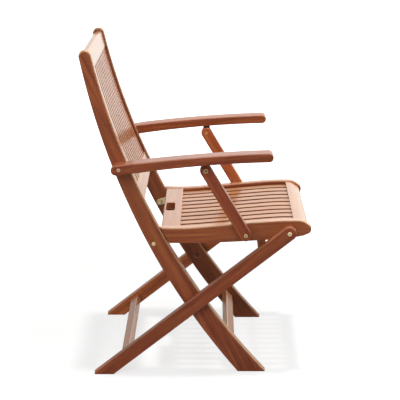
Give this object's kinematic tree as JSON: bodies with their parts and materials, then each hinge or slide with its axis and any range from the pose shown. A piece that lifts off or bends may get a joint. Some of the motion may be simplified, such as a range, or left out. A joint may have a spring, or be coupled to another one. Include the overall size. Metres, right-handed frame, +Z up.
{
  "type": "folding armchair",
  "caption": "Folding slatted wooden armchair with crossed legs, curved high back, dished seat and hinged arms on braces that fold up flat.",
  "frame": {"origin": "on the floor, at the middle of the chair's overall length and width", "axes": "+X forward, the way the sitter faces; +Y to the sitter's left; +Z up"},
  "size_m": [0.6224, 0.598, 0.9],
  "materials": {
    "teak": "oiled teak",
    "brass": "satin brass"
  },
  "bodies": {
    "back_frame": {"back_lower_rail": "teak", "back_slat_01": "teak", "back_slat_02": "teak", "back_slat_03": "teak", "back_slat_04": "teak", "back_slat_05": "teak", "back_slat_06": "teak", "back_slat_07": "teak", "back_slat_08": "teak", "back_slat_09": "teak", "back_slat_10": "teak", "back_slat_11": "teak", "back_slat_12": "teak", "back_top_rail": "teak", "catch_bolts": "brass", "catch_plates": "brass", "crossing_bolts": "brass", "front_stretcher": "teak", "stile_left": "teak", "stile_right": "teak"},
    "legs": {"leg_left": "teak", "leg_rear_stretcher": "teak", "leg_right": "teak", "leg_upper_stretcher": "teak", "seat_pivot_bolts": "brass"},
    "seat": {"seat_batten": "teak", "seat_catch_pins": "brass", "seat_front_board": "teak", "seat_rail_left": "teak", "seat_rail_right": "teak", "seat_rear_board": "teak", "seat_slat_01": "teak", "seat_slat_02": "teak", "seat_slat_03": "teak", "seat_slat_04": "teak", "seat_slat_05": "teak", "seat_slat_06": "teak", "seat_slat_07": "teak", "seat_slat_08": "teak", "seat_slat_09": "teak", "seat_slat_10": "teak"},
    "arm_right": {"arm_pivot_bolt_right": "brass", "arm_right": "teak", "arm_tongue_right": "brass"},
    "brace_right": {"brace_bolts_right": "brass", "brace_right": "teak"},
    "arm_left": {"arm_left": "teak", "arm_pivot_bolt_left": "brass", "arm_tongue_left": "brass"},
    "brace_left": {"brace_bolts_left": "brass", "brace_left": "teak"}
  },
  "joints": [
    {"name": "leg_fold", "type": "hinge", "parent": "back_frame", "child": "legs", "pos_m": [-0.00477, 0, 0.20455], "axis": [0, -1, 0], "range_deg": [0, 64]},
    {"name": "seat_fold", "type": "hinge", "parent": "legs", "child": "seat", "pos_m": [0.25123, 0, 0.406], "axis": [0, -1, 0], "range_deg": [-138, 0]},
    {"name": "arm_fold_right", "type": "hinge", "parent": "back_frame", "child": "arm_right", "pos_m": [-0.20777, 0, 0.589], "axis": [0, -1, 0], "range_deg": [0, 92.6]},
    {"name": "brace_fold_right", "type": "hinge", "parent": "arm_right", "child": "brace_right", "pos_m": [0.02423, 0, 0.581], "axis": [0, -1, 0], "range_deg": [-95.5, 0]},
    {"name": "arm_fold_left", "type": "hinge", "parent": "back_frame", "child": "arm_left", "pos_m": [-0.20777, 0, 0.589], "axis": [0, -1, 0], "range_deg": [0, 92.6]},
    {"name": "brace_fold_left", "type": "hinge", "parent": "arm_left", "child": "brace_left", "pos_m": [0.02423, 0, 0.581], "axis": [0, -1, 0], "range_deg": [-95.5, 0]}
  ],
  "couplings": [
    {"joint": "seat_fold", "follows": "leg_fold", "ratio": -2.1562},
    {"joint": "arm_fold_right", "follows": "leg_fold", "ratio": 1.4461},
    {"joint": "brace_fold_right", "follows": "leg_fold", "ratio": -1.4908},
    {"joint": "arm_fold_left", "follows": "leg_fold", "ratio": 1.4461},
    {"joint": "brace_fold_left", "follows": "leg_fold", "ratio": -1.4908}
  ]
}
